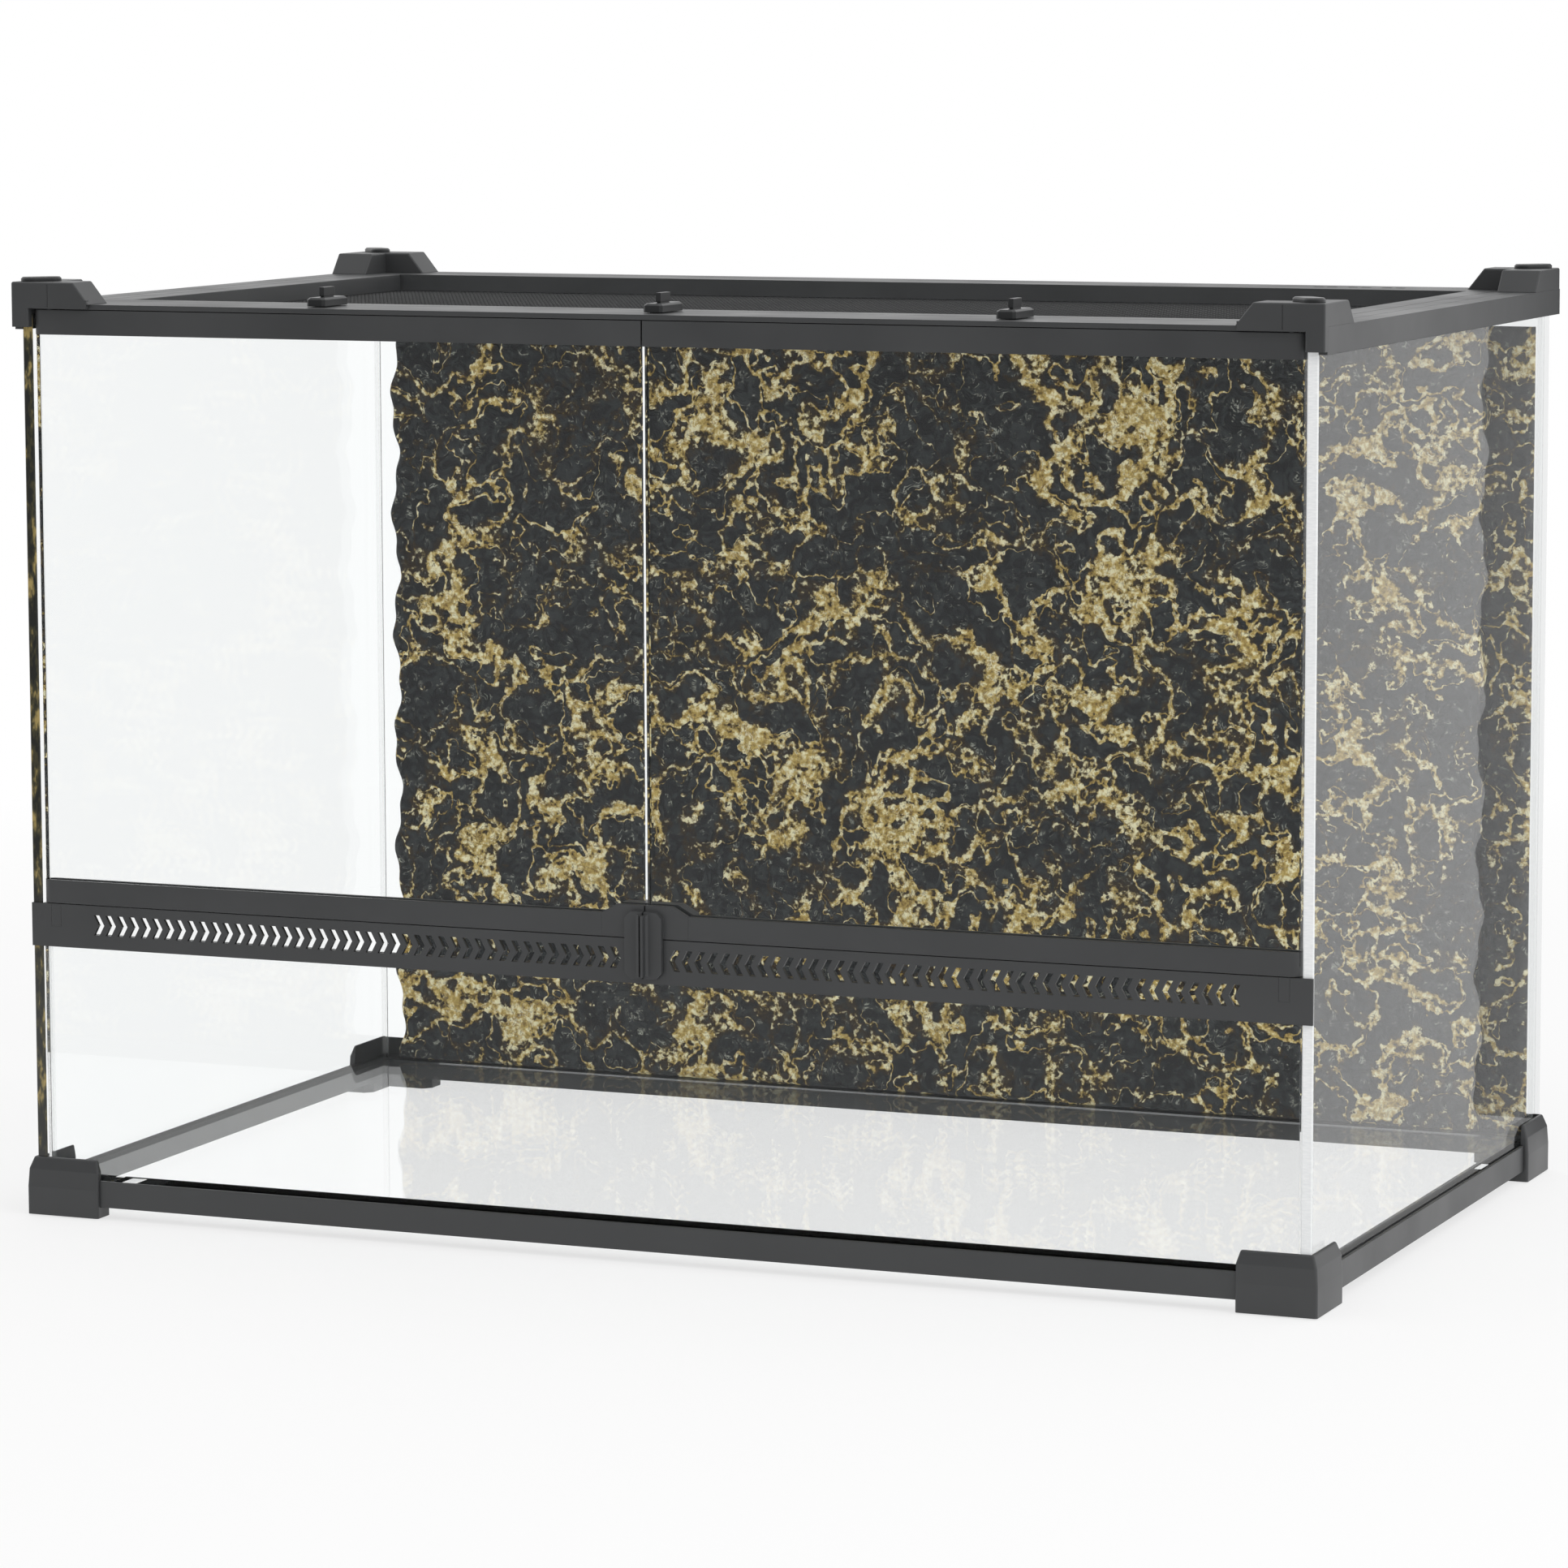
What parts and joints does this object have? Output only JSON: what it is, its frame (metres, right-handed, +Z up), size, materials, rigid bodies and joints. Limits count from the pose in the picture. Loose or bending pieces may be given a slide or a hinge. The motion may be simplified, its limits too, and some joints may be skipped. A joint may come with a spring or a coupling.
{
  "type": "reptile terrarium",
  "caption": "Front-opening glass reptile terrarium with raised base frame, chevron vent strip, two swing doors, lift-off screen lid with turn clips and a rock background board.",
  "frame": {"origin": "centre of the box on the surface that the feet stand on", "axes": "+X to the right along the width seen from the front, +Y to the back, +Z up"},
  "size_m": [0.5, 0.2958, 0.3466],
  "materials": {
    "black_moulding": "fine satin moulded ABS",
    "dark_moulding": "satin moulded ABS",
    "clear_glass": "polished float glass",
    "door_glass": "polished float glass",
    "clear_silicone": "clear cured silicone",
    "rock_board": "moulded foam rock, black with gold veins",
    "woven_screen": "black coated wire screen",
    "pin_steel": "drawn steel"
  },
  "bodies": {
    "tank": {"base_rail_front": "black_moulding", "base_rail_back": "black_moulding", "base_rail_left": "black_moulding", "base_rail_right": "black_moulding", "foot_front_left": "black_moulding", "foot_front_right": "black_moulding", "foot_back_left": "black_moulding", "foot_back_right": "black_moulding", "floor_glass": "clear_glass", "side_glass_left": "clear_glass", "side_glass_right": "clear_glass", "back_glass": "clear_glass", "front_lower_glass": "clear_glass", "silicone_beads": "clear_silicone", "vent_strip": "black_moulding", "pivot_clip_left": "dark_moulding", "pivot_clip_right": "dark_moulding", "top_rail_front": "black_moulding", "top_rail_back": "black_moulding", "top_rail_left": "black_moulding", "top_rail_right": "black_moulding", "top_cap_front_left": "black_moulding", "top_cap_front_right": "black_moulding", "top_cap_back_left": "black_moulding", "top_cap_back_right": "black_moulding", "cap_plug_front_left": "dark_moulding", "cap_plug_front_right": "dark_moulding", "cap_plug_back_left": "dark_moulding", "cap_plug_back_right": "dark_moulding", "background_board": "rock_board", "background_backing": "rock_board"},
    "lid": {"lid_bar_front": "black_moulding", "lid_bar_back": "black_moulding", "lid_bar_left": "black_moulding", "lid_bar_right": "black_moulding", "lid_screen": "woven_screen"},
    "turn_clip_left": {"clip_left": "dark_moulding"},
    "turn_clip_middle": {"clip_middle": "dark_moulding"},
    "turn_clip_right": {"clip_right": "dark_moulding"},
    "door_left": {"door_glass_left": "door_glass", "door_upper_bar_left": "black_moulding", "door_lower_bar_left": "black_moulding", "door_pull_left": "black_moulding", "door_pins_left": "pin_steel"},
    "door_right": {"door_glass_right": "door_glass", "door_upper_bar_right": "black_moulding", "door_lower_bar_right": "black_moulding", "door_pull_right": "black_moulding", "door_pins_right": "pin_steel"}
  },
  "joints": [
    {"name": "door_left_hinge", "type": "hinge", "parent": "tank", "child": "door_left", "pos_m": [-0.2368, -0.13955, 0.2], "axis": [0, 0, -1], "range_deg": [0, 100]},
    {"name": "door_right_hinge", "type": "hinge", "parent": "tank", "child": "door_right", "pos_m": [0.2368, -0.13955, 0.2], "axis": [0, 0, 1], "range_deg": [0, 100]},
    {"name": "lid_lift", "type": "slide", "parent": "tank", "child": "lid", "axis": [0, 0, 1], "range_m": [0, 0.12]},
    {"name": "clip_left_turn", "type": "hinge", "parent": "tank", "child": "turn_clip_left", "pos_m": [-0.132, -0.12225, 0.337], "axis": [0, 0, 1], "range_deg": [0, 180]},
    {"name": "clip_middle_turn", "type": "hinge", "parent": "tank", "child": "turn_clip_middle", "pos_m": [0, -0.12225, 0.337], "axis": [0, 0, 1], "range_deg": [0, 180]},
    {"name": "clip_right_turn", "type": "hinge", "parent": "tank", "child": "turn_clip_right", "pos_m": [0.132, -0.12225, 0.337], "axis": [0, 0, 1], "range_deg": [0, 180]}
  ]
}
